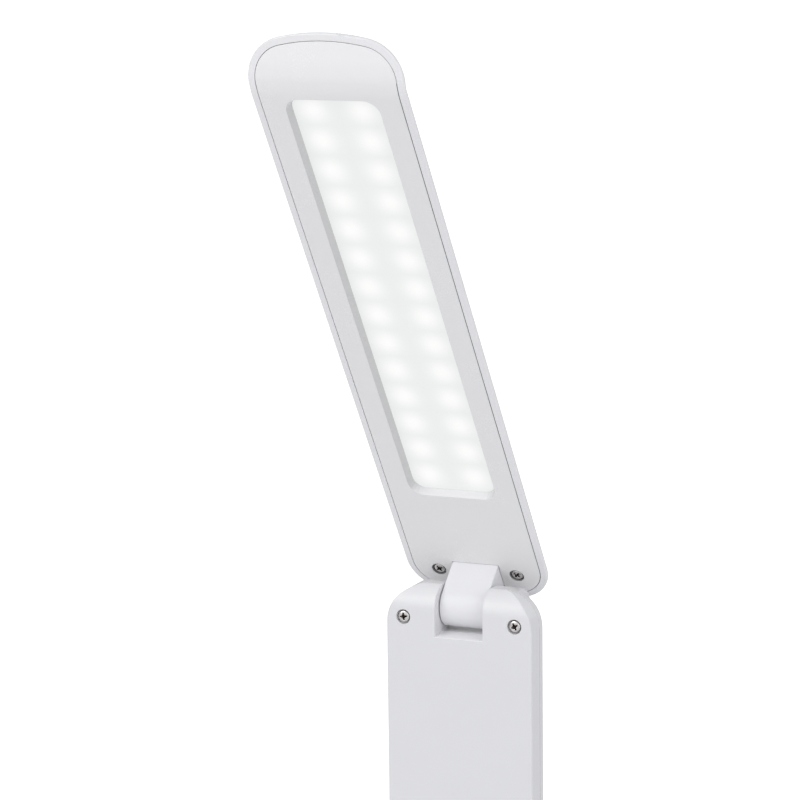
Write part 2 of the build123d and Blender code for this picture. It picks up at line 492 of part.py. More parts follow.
def make_hinge():
    """Friction pin on one side, hollow wire pivot on the other, on a bracket in the arm."""
    stack = EAR_X + EAR_T
    pin = rod_x(PIN_R, -PIN_END, -PIN_INNER_X)
    pivot = rod_x(PIVOT_R, PIVOT_INNER_X, PIVOT_END) - rod_x(PIVOT_BORE_R, 0, FAR)
    clip_x = stack + SIDE_GAP
    pivot -= rod_x(FAR, clip_x, clip_x + CLIP_T) - rod_x(PIVOT_R - CLIP_GROOVE, 0, FAR)
    clip = rod_x(CLIP_R, clip_x, clip_x + CLIP_T) - rod_x(PIVOT_R - CLIP_GROOVE, 0, FAR)
    clip -= block(0, FAR, -CLIP_MOUTH / 2, CLIP_MOUTH / 2, -FAR, 0)
    plate_half_w = ARM_W / 2 - ARM_WALL - PLATE_GAP
    tab_inner = ARM_SCREW_X - BOSS_R + SIDE_GAP
    throat = NOTCH_FLOOR_FRONT + ARM_WALL + NOTCH_GAP
    plate = block(-plate_half_w, plate_half_w, PLATE_Y, PARTING, -1, throat + PLATE_REACH)
    plate = fillet(plate.edges().filter_by(Axis.Y), PLATE_CORNER_R)
    plate -= block(-tab_inner, tab_inner, PLATE_Y, PARTING, -1, EAR_R + NOTCH_GAP)
    plate -= block(-EAR_X, EAR_X, PLATE_Y, PARTING, -1, throat)
    for x, z in arm_screw_sites():
        plate -= rod_y(SCREW_R + SCREW_FREE, PLATE_Y, PARTING, x, z)
    for side in (-1, 1):
        inner, outer = sorted((side * EAR_X, side * (EAR_X + EAR_T)))
        ear = rod_x(EAR_R, inner, outer) + block(inner, outer, PLATE_Y, 0, -EAR_R / 2, throat)
        bore = PIN_R if side < 0 else PIVOT_R
        plate += ear - rod_x(bore + RUNNING, inner, outer)
        plate -= rod_x(bore + RUNNING, inner, outer)
    washer = rod_x(WASHER_R, -stack - WASHER_T, -stack) - rod_x(PIN_R + RUNNING, -FAR, 0)
    discs = []
    x = stack + WASHER_T
    for index in range(DISC_COUNT):
        flip = index % 2 == 0
        seat = x if flip else x + DISC_RISE
        discs.append(disc_spring(seat, flip))
        x += DISC_STEP
    nut_x = x + RUNNING
    hexagon = RegularPolygon(NUT_AF / 2, 6, major_radius=False)
    nut = Pos(-nut_x - NUT_T, 0, 0) * Rot(0, 90, 0) * extrude(hexagon, amount=NUT_T) - rod_x(PIN_R, -FAR, 0)
    return {
        "friction_pin": pin, "hollow_pivot": pivot, "retaining_clip": clip, "hinge_bracket": plate,
        "friction_washer": washer, "disc_springs": discs, "lock_nut": nut,
    }


# ---------------------------------------------------------------- base
def base_outline(inset=0.0):
    return RectangleRounded(BASE_W - 2 * inset, BASE_D - 2 * inset, BASE_CORNER_R - inset)


def base_screw_sites():
    x, y = BASE_W / 2 - BASE_SCREW_INSET, BASE_D / 2 - BASE_SCREW_INSET
    return [(sx * x, sy * y) for sx in (-1, 1) for sy in (-1, 1)]


def make_base():
    rim_z = COVER_BOTTOM + 0.5
    outer = Pos(0, 0, rim_z) * extrude(base_outline(), amount=BASE_TOP - rim_z)
    outer = fillet(outer.faces().sort_by(Axis.Z)[-1].edges(), BASE_EDGE_R)
    stand = block(-PEDESTAL_W / 2, PEDESTAL_W / 2, LOWER_AXIS_Y - PEDESTAL_D / 2, LOWER_AXIS_Y + PEDESTAL_D / 2,
                  BASE_TOP - BASE_WALL, PEDESTAL_TOP)
    stand = fillet(stand.edges().filter_by(Axis.Z), PEDESTAL_CORNER_R)
    stand = fillet(stand.faces().sort_by(Axis.Z)[-1].edges(), PEDESTAL_EDGE_R)
    inner = extrude(base_outline(BASE_WALL), amount=BASE_TOP - BASE_WALL)
    inner = fillet(inner.faces().sort_by(Axis.Z)[-1].edges(), BASE_EDGE_R - 1)
    wall = BASE_WALL
    hollow = block(-PEDESTAL_W / 2 + wall, PEDESTAL_W / 2 - wall, LOWER_AXIS_Y - PEDESTAL_D / 2 + wall,
                   LOWER_AXIS_Y + PEDESTAL_D / 2 - wall, 0, PEDESTAL_TOP - wall)
    hollow = fillet(hollow.edges().filter_by(Axis.Z), PEDESTAL_CORNER_R - wall)
    shell = outer + stand - inner - hollow
    hole_x, hole_y = KNUCKLE_W / 2 + SIDE_GAP, BARREL_R + SIDE_GAP
    knuckle_hole = block(-hole_x, hole_x, LOWER_AXIS_Y - hole_y, LOWER_AXIS_Y + hole_y, 0, FAR)
    button_hole = rod_z(BUTTON_R + BUTTON_GAP, 0, FAR, 0, BUTTON_Y)
    jack_z = COVER_TOP + JACK_LIFT + JACK_H / 2
    jack_neck_r = JACK_BORE_R + JACK_NECK_WALL
    jack_hole = rod_y(jack_neck_r + SCREW_FREE, BASE_D / 2 - 2 * BASE_WALL, FAR, JACK_X, jack_z)
    ceiling = BASE_TOP - BASE_WALL
    for x, y in base_screw_sites():
        shell += rod_z(WIDE_BOSS_R, COVER_TOP + COVER_BOSS, ceiling + wall / 2, x, y)
        shell -= rod_z(SCREW_R, COVER_TOP, PAD_T + BASE_SCREW_LENGTH + 2 * SCREW_TIP, x, y)
    shell -= knuckle_hole
    shell -= button_hole
    shell -= jack_hole

    flange_top = PEDESTAL_TOP - wall
    flange_foot = flange_top - POST_FLANGE_T
    flange_x, flange_y = PEDESTAL_W / 2 - 2 * wall, POST_FLANGE_D / 2
    post = rod_x(BARREL_R, -KNUCKLE_W / 2, KNUCKLE_W / 2, LOWER_AXIS_Y, LOWER_AXIS_Z)
    post += block(-KNUCKLE_W / 2, KNUCKLE_W / 2, LOWER_AXIS_Y - BARREL_R, LOWER_AXIS_Y + BARREL_R,
                  flange_foot, LOWER_AXIS_Z)
    post = rounded_sides(post)
    flange = block(-flange_x, flange_x, LOWER_AXIS_Y - flange_y, LOWER_AXIS_Y + flange_y, flange_foot, flange_top)
    post += fillet(flange.edges().filter_by(Axis.Z), POST_FLANGE_CORNER_R)
    hinge_hole = rod_x(PIN_R, -KNUCKLE_W, -PIN_INNER_X) + rod_x(PIVOT_R, PIVOT_INNER_X, KNUCKLE_W)
    hinge_hole += rod_x(PIVOT_BORE_R, 0, KNUCKLE_W)
    post -= LOWER_PLACE * hinge_hole
    post -= rod_z(PIVOT_BORE_R, 0, LOWER_AXIS_Z, PIVOT_BORE_R, LOWER_AXIS_Y)
    knuckle_screws = []
    for x in (-POST_SCREW_X, POST_SCREW_X):
        shell -= rod_z(SCREW_R, flange_top, PEDESTAL_TOP - SCREW_TIP, x, LOWER_AXIS_Y)
        post -= rod_z(SCREW_R + SCREW_FREE, 0, flange_top, x, LOWER_AXIS_Y)
        place = Pos(x, LOWER_AXIS_Y, flange_foot - SCREW_HEAD_H) * Rot(180, 0, 0)
        knuckle_screws.append(place * screw(POST_SCREW_LENGTH))

    cover = Pos(0, 0, COVER_BOTTOM) * extrude(base_outline(BASE_WALL + COVER_GAP), amount=COVER_T)
    cover -= extrude(base_outline(PAD_INSET), amount=PAD_T)
    pad = extrude(base_outline(PAD_INSET + SIDE_GAP), amount=PAD_T)
    base_screws = []
    for x, y in base_screw_sites():
        cover += rod_z(WIDE_BOSS_R, PAD_T, COVER_TOP + COVER_BOSS, x, y)
        cover -= rod_z(SCREW_POCKET_R, 0, PAD_T + SCREW_POCKET_DEPTH, x, y)
        cover -= rod_z(SCREW_R + SCREW_FREE, 0, FAR, x, y)
        seat = PAD_T + SCREW_POCKET_DEPTH - SCREW_HEAD_H
        base_screws.append(Pos(x, y, seat) * Rot(180, 0, 0) * screw(BASE_SCREW_LENGTH))

    weight_top = COVER_TOP + WEIGHT_H
    weight = block(-WEIGHT_W / 2, WEIGHT_W / 2, -WEIGHT_D / 2, WEIGHT_D / 2, COVER_TOP, weight_top)
    weight = chamfer(weight.edges().filter_by(Axis.Z), WEIGHT_CORNER)
    weight_screws = []
    weight_x, weight_y = WEIGHT_W / 2 - WEIGHT_SCREW_INSET_X, WEIGHT_D / 2 - WEIGHT_SCREW_INSET_Y
    pilot_foot = PAD_T + 0.5
    for x, y in [(sx * weight_x, sy * weight_y) for sx in (-1, 1) for sy in (-1, 1)]:
        weight -= rod_z(SCREW_R + SCREW_FREE, 0, FAR, x, y)
        cover -= rod_z(SCREW_R, pilot_foot, COVER_TOP, x, y)
        weight_screws.append(Pos(x, y, weight_top + SCREW_HEAD_H) * screw(WEIGHT_H + SCREW_HEAD_H + 0.4))

    board_y = BUTTON_Y
    board = block(-CONTROL_W / 2, CONTROL_W / 2, board_y - CONTROL_D / 2, board_y + CONTROL_D / 2,
                  CONTROL_Z, CONTROL_Z + CONTROL_T)
    board_screws = []
    for side in (-1, 1):
        x = side * (CONTROL_W / 2 - CONTROL_SCREW_INSET)
        y = board_y + side * (CONTROL_D / 2 - CONTROL_SCREW_INSET)
        cover += rod_z(BOSS_R, COVER_TOP - 0.5, CONTROL_Z, x, y)
        cover -= rod_z(SCREW_R, pilot_foot, CONTROL_Z, x, y)
        board -= rod_z(SCREW_R + SCREW_FREE, 0, FAR, x, y)
        board_screws.append(Pos(x, y, CONTROL_Z + CONTROL_T + SCREW_HEAD_H) * screw(CONTROL_SCREW_LENGTH))

    switch_top = CONTROL_Z + CONTROL_T + SWITCH_H
    half = SWITCH_SIZE / 2
    switch = block(-half, half, board_y - half, board_y + half, CONTROL_Z + CONTROL_T, switch_top)
    switch -= rod_z(PLUNGER_R + RUNNING, switch_top - PLUNGER_HOLE, FAR, 0, board_y)
    plunger_top = switch_top + PLUNGER_PROUD
    plunger = rod_z(PLUNGER_R, switch_top - PLUNGER_IN, plunger_top, 0, board_y)
    lip_top = ceiling - SIDE_GAP
    cap = rod_z(BUTTON_R, lip_top - BUTTON_LIP_T, BASE_TOP + BUTTON_PROUD, 0, BUTTON_Y)
    cap = fillet(cap.edges().group_by(Axis.Z)[-1], BUTTON_EDGE_R)
    cap += rod_z(BUTTON_R + BUTTON_LIP, lip_top - BUTTON_LIP_T, lip_top, 0, BUTTON_Y)
    cap += rod_z(BUTTON_STEM_R, plunger_top, lip_top, 0, BUTTON_Y)
    cap -= Pos(0, BUTTON_Y, BASE_TOP + BUTTON_PROUD + BUTTON_DISH_R - BUTTON_DISH_DEPTH) * Sphere(BUTTON_DISH_R)

    jack_front = BASE_D / 2 - BASE_WALL
    jack = block(JACK_X - JACK_W / 2, JACK_X + JACK_W / 2, jack_front - JACK_DEPTH, jack_front,
                 jack_z - JACK_H / 2, jack_z + JACK_H / 2)
    jack += rod_y(jack_neck_r, jack_front, BASE_D / 2 - JACK_LIFT, JACK_X, jack_z)
    jack -= rod_y(JACK_BORE_R, jack_front - JACK_BORE_DEPTH, FAR, JACK_X, jack_z)
    jack_pin = rod_y(JACK_PIN_R, jack_front - JACK_BORE_DEPTH, BASE_D / 2 - CRADLE_WALL, JACK_X, jack_z)
    jack_back = jack_front - JACK_DEPTH
    cradle = block(JACK_X - JACK_W / 2 - CRADLE_WALL, JACK_X + JACK_W / 2 + CRADLE_WALL,
                   jack_back - CRADLE_WALL, jack_front - 1, COVER_TOP - 0.5, COVER_TOP + CRADLE_H)
    cradle -= block(JACK_X - JACK_W / 2, JACK_X + JACK_W / 2, jack_back, FAR, COVER_TOP + JACK_LIFT, FAR)
    jack_wire_z = jack_z - 1
    cradle -= rod_y(WIRE_R + 2 * SCREW_FREE, 0, jack_back, JACK_X, jack_wire_z)
    cover += cradle

    lane_x = (WEIGHT_W / 2 + BASE_W / 2 - BASE_WALL) / 2 - 1
    board_wire_z = CONTROL_Z + CONTROL_T + WIRE_R + SIDE_GAP
    board_wire_y = BUTTON_Y + 6
    turn_y = WEIGHT_D / 2 + 9
    power_wire = wire([(JACK_X, jack_back, jack_wire_z), (JACK_X, turn_y, jack_wire_z),
                       (-lane_x, turn_y, jack_wire_z), (-lane_x, board_wire_y, board_wire_z),
                       (-CONTROL_W / 2 + 4, board_wire_y, board_wire_z)], WIRE_BEND)
    base_wire = wire([(PIVOT_END, LOWER_AXIS_Y, LOWER_AXIS_Z), (PIVOT_BORE_R, LOWER_AXIS_Y, LOWER_AXIS_Z),
                      (PIVOT_BORE_R, LOWER_AXIS_Y, board_wire_z), (lane_x, turn_y, board_wire_z),
                      (lane_x, board_wire_y, board_wire_z), (CONTROL_W / 2 - 6, board_wire_y, board_wire_z)],
                     TIGHT_BEND)
    return {
        "base_top_shell": shell, "base_bottom_cover": cover, "anti_slip_pad": pad, "base_screws": base_screws,
        "base_weight": weight, "weight_screws": weight_screws, "base_knuckle": post,
        "base_knuckle_screws": knuckle_screws, "control_board": board, "control_board_screws": board_screws,
        "tact_switch": switch, "switch_plunger": plunger, "power_button": cap, "dc_jack": jack,
        "dc_jack_pin": jack_pin, "power_wire": power_wire, "base_wire": base_wire,
    }


# ---------------------------------------------------------------- assembly
def placed(shape, place):
    """A solid, or a group of separate solids, put in its place."""
    if isinstance(shape, list):
        return Compound(children=[place * item for item in shape])
    return place * shape


def make_lamp():
    nodes = dict(make_base())
    for name, shape in make_arm().items():
        nodes[name] = placed(shape, LOWER_PLACE)
    for name, shape in make_head().items():
        nodes[name] = placed(shape, HEAD_PLACE)
    hinge = make_hinge()
    on_head = ("friction_pin", "hollow_pivot", "lock_nut", "retaining_clip")
    for name, shape in hinge.items():
        nodes["lower_" + name] = placed(shape, LOWER_PLACE)
        upside = [mirror(item, Plane.XY) for item in shape] if isinstance(shape, list) else mirror(shape, Plane.XY)
        nodes["upper_" + name] = placed(upside, HEAD_PLACE if name in on_head else UPPER_PLACE)
    return {name: placed(shape, Location()) for name, shape in nodes.items()}


os.makedirs("parts", exist_ok=True)
for node, shape in make_lamp().items():
    export_step(shape, "parts/" + node + ".step")
print("lower axis z %.2f, upper axis z %.2f" % (LOWER_AXIS_Z, UPPER_AXIS_Z))
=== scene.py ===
"""Folding LED desk lamp, lit as in a product picture: finishes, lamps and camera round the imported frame."""

import json
import math

import bmesh
import bpy
from mathutils import Matrix, Vector

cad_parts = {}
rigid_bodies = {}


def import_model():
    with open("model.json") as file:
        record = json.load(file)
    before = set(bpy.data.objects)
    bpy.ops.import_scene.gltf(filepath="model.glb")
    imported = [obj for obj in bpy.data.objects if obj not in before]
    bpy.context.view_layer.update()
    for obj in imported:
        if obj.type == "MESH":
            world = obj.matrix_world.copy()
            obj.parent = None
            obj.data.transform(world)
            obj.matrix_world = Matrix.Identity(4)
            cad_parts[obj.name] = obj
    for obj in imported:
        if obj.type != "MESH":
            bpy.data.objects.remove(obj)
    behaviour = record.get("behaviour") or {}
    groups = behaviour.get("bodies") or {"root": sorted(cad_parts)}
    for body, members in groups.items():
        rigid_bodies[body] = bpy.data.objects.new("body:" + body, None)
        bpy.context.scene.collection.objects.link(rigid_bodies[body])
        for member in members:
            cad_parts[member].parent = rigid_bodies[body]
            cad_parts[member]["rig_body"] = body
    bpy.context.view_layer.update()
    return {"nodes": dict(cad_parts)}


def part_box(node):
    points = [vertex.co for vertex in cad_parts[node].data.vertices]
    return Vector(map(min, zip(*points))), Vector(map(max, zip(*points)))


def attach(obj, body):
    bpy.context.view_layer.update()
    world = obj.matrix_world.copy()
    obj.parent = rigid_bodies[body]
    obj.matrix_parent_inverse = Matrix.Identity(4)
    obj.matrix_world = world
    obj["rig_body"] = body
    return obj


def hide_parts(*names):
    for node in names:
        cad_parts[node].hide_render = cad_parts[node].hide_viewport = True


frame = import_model()
nodes = frame["nodes"]
body_of_node = {name: node["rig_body"] for name, node in nodes.items()}
MM = 0.001


# ==================================================================== table and room
# A plain white table under the lamp, in a plain white room. The table is a thin sheet
# with a matt surface; it keeps the lamp's shadow and the rest of it reads as white.
class Value:
    """What one node gives to others. Sums written with it become nodes beside that one."""

    def __init__(self, owner, socket):
        self.owner, self.socket = owner, socket

    def maths(self, operation, *numbers):
        return self.owner.add("ShaderNodeMath", {"operation": operation}, dict(enumerate((self,) + numbers)))

    def __add__(self, other):
        return self.maths("ADD", other)

    def __sub__(self, other):
        return self.maths("SUBTRACT", other)

    def __rsub__(self, other):
        return self.maths("MULTIPLY_ADD", -1, other)

    def __mul__(self, other):
        return self.maths("MULTIPLY", other)

    def __truediv__(self, other):
        return self.maths("DIVIDE", other)

    __radd__, __rmul__ = __add__, __mul__


class Nodes:
    """The nodes of a finish or of the room."""

    def __init__(self, tree):
        self.tree = tree
        tree.nodes.clear()

    def feed(self, socket, value):
        if isinstance(value, Value):
            self.tree.links.new(value.socket, socket)
        else:
            socket.default_value = value

    def add(self, kind, settings, inputs, output=0):
        node = self.tree.nodes.new(kind)
        for setting, value in settings.items():
            setattr(node, setting, value)
        for socket, value in inputs.items():
            self.feed(node.inputs[socket], value)
        return Value(self, node.outputs[output])


class Finish(Nodes):
    """A material: one shader and the nodes that vary it over the surface."""

    def __init__(self, name, shader):
        self.material = bpy.data.materials.new(name)
        self.material.use_nodes = True
        super().__init__(self.material.node_tree)
        self.shader = self.tree.nodes.new("ShaderNodeBsdfPrincipled")
        output = self.tree.nodes.new("ShaderNodeOutputMaterial")
        self.tree.links.new(self.shader.outputs[0], output.inputs["Surface"])
        for socket, value in shader.items():
            self.set(socket, value)

    def set(self, socket, value):
        self.feed(self.shader.inputs[socket], value)

    def place(self):
        return self.add("ShaderNodeTexCoord", {}, {}, "Object")

    def noise(self, where, scale, detail=2.0, rough=0.5):
        return self.add("ShaderNodeTexNoise", {}, {"Vector": where, "Scale": scale, "Detail": detail,
                                                   "Roughness": rough})

    def blend(self, share, low, high):
        return self.add("ShaderNodeMix", {"data_type": "RGBA"}, {"Factor": share, 6: low, 7: high}, 2)

    def relief(self, height, depth, strength):
        return self.add("ShaderNodeBump", {}, {"Height": height, "Distance": depth, "Strength": strength})


TABLE_HALF = 80.0
GLOW_FROM, GLOW_OVER = 0.3, 0.5
table_mesh = bpy.data.meshes.new("table")
table_corners = [(sx * TABLE_HALF, sy * TABLE_HALF, 0) for sx, sy in ((-1, -1), (1, -1), (1, 1), (-1, 1))]
table_mesh.from_pydata(table_corners, [], [(0, 1, 2, 3)])
table = bpy.data.objects.new("table", table_mesh)
bpy.context.scene.collection.objects.link(table)
table_white = Finish("table_white", {"Roughness": 0.9, "Emission Strength": 1.0})
seen = table_white.add("ShaderNodeLightPath", {}, {}, "Is Camera Ray")
table_white.set("Base Color", table_white.blend(seen, (0.86, 0.86, 0.87, 1), (0.9, 0.9, 0.9, 1)))
away = table_white.add("ShaderNodeVectorMath", {"operation": "LENGTH"}, {0: table_white.place()}, "Value")
far_share = ((away - GLOW_FROM) / GLOW_OVER).maths("MAXIMUM", 0).maths("MINIMUM", 1)
glow = seen * (far_share * 0.5 + 0.5)
table_white.set("Emission Color", table_white.blend(glow, (0, 0, 0, 1), (0.66, 0.66, 0.66, 1)))
table_mesh.materials.append(table_white.material)

room = bpy.data.worlds.new("room")
bpy.context.scene.world = room
room.use_nodes = True
walls = Nodes(room.node_tree)
camera_ray, mirror_ray, clear_ray = [walls.add("ShaderNodeLightPath", {}, {}, kind) for kind in (
    "Is Camera Ray", "Is Glossy Ray", "Is Transmission Ray")]
as_seen = walls.add("ShaderNodeBackground", {}, {"Color": (1, 1, 1, 1), "Strength": 1.0})
as_light = walls.add("ShaderNodeBackground", {}, {"Color": (0.97, 0.975, 1.0, 1), "Strength": 0.62})
sees_walls = camera_ray.maths("MAXIMUM", mirror_ray.maths("MAXIMUM", clear_ray))
either = walls.add("ShaderNodeMixShader", {}, {"Fac": sees_walls, 1: as_light, 2: as_seen})
walls.feed(walls.tree.nodes.new("ShaderNodeOutputWorld").inputs["Surface"], either)

# ==================================================================== studio lamps and camera
# Two broad soft boxes: the main one in front, above and to the left, a weaker one to the
# right. The camera stands to the right, slightly above, with a long lens.
SOFT_BOXES = [
    # name, place, side and power
    ("main_soft_box", (-1.1, -1.5, 1.5), 1.3, 17.5),
    ("side_soft_box", (1.7, -0.9, 0.9), 1.2, 11.0),
]
LAMPS_AIM = Vector((0, 0.03, 0.36))
for box_name, box_place, box_size, box_power in SOFT_BOXES:
    lamp_data = bpy.data.lights.new(box_name, "AREA")
    lamp_data.size = box_size
    lamp_data.energy = box_power
    lamp = bpy.data.objects.new(box_name, lamp_data)
    lamp.location = box_place
    lamp.rotation_euler = (LAMPS_AIM - Vector(box_place)).to_track_quat("-Z", "Y").to_euler()
    bpy.context.scene.collection.objects.link(lamp)

UPPER_HINGE = Vector((0, 50, 308.3)) * MM
LOWER_HINGE = Vector((0, 50, 42.3)) * MM
CAMERA_AWAY, CAMERA_LEFT, CAMERA_ABOVE = 1135.866 * MM, 24.389 * MM, 74.289 * MM
LENS, SENSOR_W = 142.30, 36
turned, dipped, rolled = math.radians(23.8182), math.radians(10.079), math.radians(-0.6833)
forward = Vector((-math.sin(turned) * math.cos(dipped), math.cos(turned) * math.cos(dipped), -math.sin(dipped)))
level = Vector((math.cos(turned), math.sin(turned), 0))
upward = level.cross(forward)
camera_place = UPPER_HINGE - forward * CAMERA_AWAY - level * CAMERA_LEFT + upward * CAMERA_ABOVE
camera_right = level * math.cos(rolled) + upward * math.sin(rolled)
camera_up = upward * math.cos(rolled) - level * math.sin(rolled)
camera_data = bpy.data.cameras.new("camera")
camera_data.sensor_width, camera_data.lens = SENSOR_W, LENS
camera_data.clip_start, camera_data.clip_end = 0.05, 200
camera = bpy.data.objects.new("camera", camera_data)
axes = Matrix((camera_right, camera_up, -forward)).transposed()
camera.matrix_world = Matrix.Translation(camera_place) @ axes.to_4x4()
bpy.context.scene.collection.objects.link(camera)
bpy.context.scene.camera = camera
bpy.context.scene.view_settings.view_transform = "Standard"


# ==================================================================== base
# The base is a hollow injection-moulded white shell, closed below by a grey cover that
# four screws hold, with a rubber pad stuck on the cover. The real edges are never sharp:
# every rim left by the mould has a small round.
FLOW_MARKS, MOULD_SKIN, SPECKS = 38.0, 420.0, 2600.0
SKIN_DEPTH, SPECK_DEPTH = 0.02 * MM, 0.002 * MM


def moulded(name, dark, light, gloss, grain=0.0, painted_light_and_shade=None, more=None):
    """Injection-moulded plastic: even colour, faint flow marks and the mould's skin. Faces blend towards a
    second colour, painted light on some finishes and painted shade on others, by a face attribute and by
    what `more` works out for each place."""
    finish = Finish(name, {"IOR": 1.5})
    where = finish.place()
    flow = finish.noise(where, FLOW_MARKS, 3.0)
    skin = finish.noise(where, MOULD_SKIN, 1.0)
    speck = finish.noise(where, SPECKS, 2.0, 0.7)
    colour = finish.blend(flow * 0.8 + speck * 0.2, dark, light)
    # Painted light and shade: the second colour stands in for light or shade, not for the plastic's own colour.
    if painted_light_and_shade:
        share = finish.add("ShaderNodeAttribute", {"attribute_name": "painted_light_and_shade"}, {}, "Fac")
        colour = finish.blend(share + more(finish) if more else share, colour, painted_light_and_shade)
    finish.set("Base Color", colour)
    finish.set("Roughness", gloss + (flow - 0.5) * 0.1 + (speck - 0.5) * 0.06)
    height = skin * SKIN_DEPTH + speck * (grain + SPECK_DEPTH)
    finish.set("Normal", finish.relief(height / MM, MM, 1.0))
    return finish.material


def turned_over(edge, skin):
    """How sharply the moulded skin turns over an edge, from the skin's own directions."""
    if len(edge.link_loops) != 2:
        return 0.0
    here, there = edge.link_loops
    turns = [one[skin].angle(other[skin], 0.0)
             for one, other in ((here, there.link_loop_next), (here.link_loop_next, there))]
    return math.degrees(min(turns))


SHARP_ABOVE = 24.0
NARROW_SHARE = 0.25
SAME_PLACE, NO_LENGTH, FLAT_WITHIN = 0.002 * MM, 0.01 * MM, math.radians(0.3)


def softened(name, width, finish, wide=None):
    """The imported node's own shape with its sharp edges rounded, standing for that node. Where
    `wide` says no to an edge's middle, the edge gets only the narrow share of the width."""
    shape = nodes[name].data.copy()
    shape.name = name + "_moulding"
    directions = [corner.vector.copy() for corner in shape.corner_normals]
    work = bmesh.new()
    work.from_mesh(shape)
    skin = work.loops.layers.float_vector.new("skin")
    for loop, direction in zip((loop for face in work.faces for loop in face.loops), directions):
        loop[skin] = direction
    bmesh.ops.remove_doubles(work, verts=work.verts, dist=SAME_PLACE)
    bmesh.ops.dissolve_degenerate(work, edges=work.edges, dist=NO_LENGTH)
    bmesh.ops.dissolve_limit(work, angle_limit=FLAT_WITHIN, use_dissolve_boundaries=False,
                             verts=work.verts, edges=work.edges, delimit={"NORMAL"})
    rounded = work.edges.layers.float.new("bevel_weight_edge")
    for edge in work.edges:
        if turned_over(edge, skin) > SHARP_ABOVE:
            middle = (edge.verts[0].co + edge.verts[1].co) / 2
            edge[rounded] = 1.0 if wide is None or wide(middle) else NARROW_SHARE
    for face in work.faces:
        face.smooth = True
    work.loops.layers.float_vector.remove(skin)
    work.to_mesh(shape)
    work.free()
    shape.materials.clear()
    shape.materials.append(finish)
    piece = bpy.data.objects.new(name + "_moulding", shape)
    bpy.context.scene.collection.objects.link(piece)
    if width:
        round_edge = piece.modifiers.new("edge", "BEVEL")
        round_edge.limit_method = "WEIGHT"
        round_edge.width = width * MM
        round_edge.segments = 2
        round_edge.use_clamp_overlap = False
        round_edge.miter_outer = "MITER_ARC"
    even = piece.modifiers.new("even", "WEIGHTED_NORMAL")
    even.mode = "FACE_AREA_WITH_ANGLE"
    even.keep_sharp = False
    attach(piece, body_of_node[name])
    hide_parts(name)
    return piece


SHELL_DARK, SHELL_LIGHT, SHELL_GLOSS = (0.69, 0.69, 0.703, 1), (0.715, 0.715, 0.73, 1), 0.4
arm_white = moulded("arm_white", SHELL_DARK, SHELL_LIGHT, SHELL_GLOSS)
cover_grey = moulded("cover_grey", (0.60, 0.60, 0.63, 1), (0.66, 0.66, 0.69, 1), 0.55, grain=0.01 * MM)

softened("base_top_shell", 0.3, arm_white)
softened("base_bottom_cover", 0.25, cover_grey)

pad_rubber = Finish("pad_rubber", {"IOR": 1.45})
pad_grain = pad_rubber.noise(pad_rubber.place(), 1500.0, 3.0, 0.7)
pad_rubber.set("Base Color", pad_rubber.blend(pad_grain, (0.018, 0.018, 0.02, 1), (0.05, 0.05, 0.053, 1)))
pad_rubber.set("Roughness", 0.75 + pad_grain * 0.2)
pad_rubber.set("Normal", pad_rubber.relief(pad_grain, 0.1 * MM, 0.6))
softened("anti_slip_pad", 0.3, pad_rubber.material)


# ==================================================================== weight
# A steel plate screwed to the cover keeps the lamp standing with its head forward. It is
# sawn from rolled bar and zinc plated.
def bright_metal(name, dark, light, rough, scale, along=(1, 1, 1)):
    """Bare or plated metal with fine working marks drawn out along one direction."""
    finish = Finish(name, {"Metallic": 1.0})
    drawn = finish.add("ShaderNodeMapping", {}, {"Vector": finish.place(), "Scale": along})
    marks = finish.noise(drawn, scale, 4.0, 0.65)
    cloud = finish.noise(finish.place(), 90.0, 2.0)
    finish.set("Base Color", finish.blend(marks * 0.5 + cloud * 0.5, dark, light))
    finish.set("Roughness", rough + (cloud - 0.5) * 0.2 + (marks - 0.5) * 0.15)
    finish.set("Normal", finish.relief(marks, 0.01 * MM, 0.5))
    return finish.material


zinc_plate = bright_metal("zinc_plate", (0.30, 0.31, 0.33, 1), (0.48, 0.49, 0.51, 1), 0.42, 900.0, (0.15, 1, 1))
softened("base_weight", 0.4, zinc_plate)


# ==================================================================== screws
# All the lamp's screws are the same small pan-head kind with a cross recess: nickel-plated
# steel, 4.5 mm across the head, with a coarse thread for plastic and a blunt tip.
SCREW_HEAD_R, SCREW_HEAD_H, SCREW_CROWN = 2.25 * MM, 1.3 * MM, 0.16 * MM
THREAD_CREST_R, THREAD_ROOT_R, THREAD_PITCH, SCREW_TIP = 1.1 * MM, 0.82 * MM, 1.0 * MM, 1.0 * MM
HEAD_SIDES, THREAD_SIDES, CORE_SIDES = 40, 14, 12
RECESS_HALF, RECESS_W, RECESS_DEPTH, RECESS_ABOVE = 1.6 * MM, 0.7 * MM, 1.0 * MM, 0.2 * MM
CORE_TOP_R, CORE_FOOT_R = 0.78 * MM, 0.28 * MM
HEAD_EDGE_R, HEAD_LAP, NECK_LAP = 0.05 * MM, 0.05 * MM, 0.1 * MM


def lathe(profile, sides):
    """Closed solid of revolution about Z from (radius, height) points, top to bottom."""
    work = bmesh.new()
    rings = []
    for radius, height in profile:
        if radius == 0:
            rings.append([work.verts.new((0, 0, height))])
            continue
        turns = [2 * math.pi * k / sides for k in range(sides)]
        rings.append([work.verts.new((radius * math.cos(t), radius * math.sin(t), height)) for t in turns])
    for upper, lower in zip(rings, rings[1:]):
        for k in range(sides):
            ring = [upper[k % len(upper)], lower[k % len(lower)], lower[(k + 1) % len(lower)],
                    upper[(k + 1) % len(upper)]]
            corners = [corner for index, corner in enumerate(ring) if corner not in ring[:index]]
            if len(corners) > 2:
                work.faces.new(corners)
    bmesh.ops.recalc_face_normals(work, faces=work.faces)
    return work


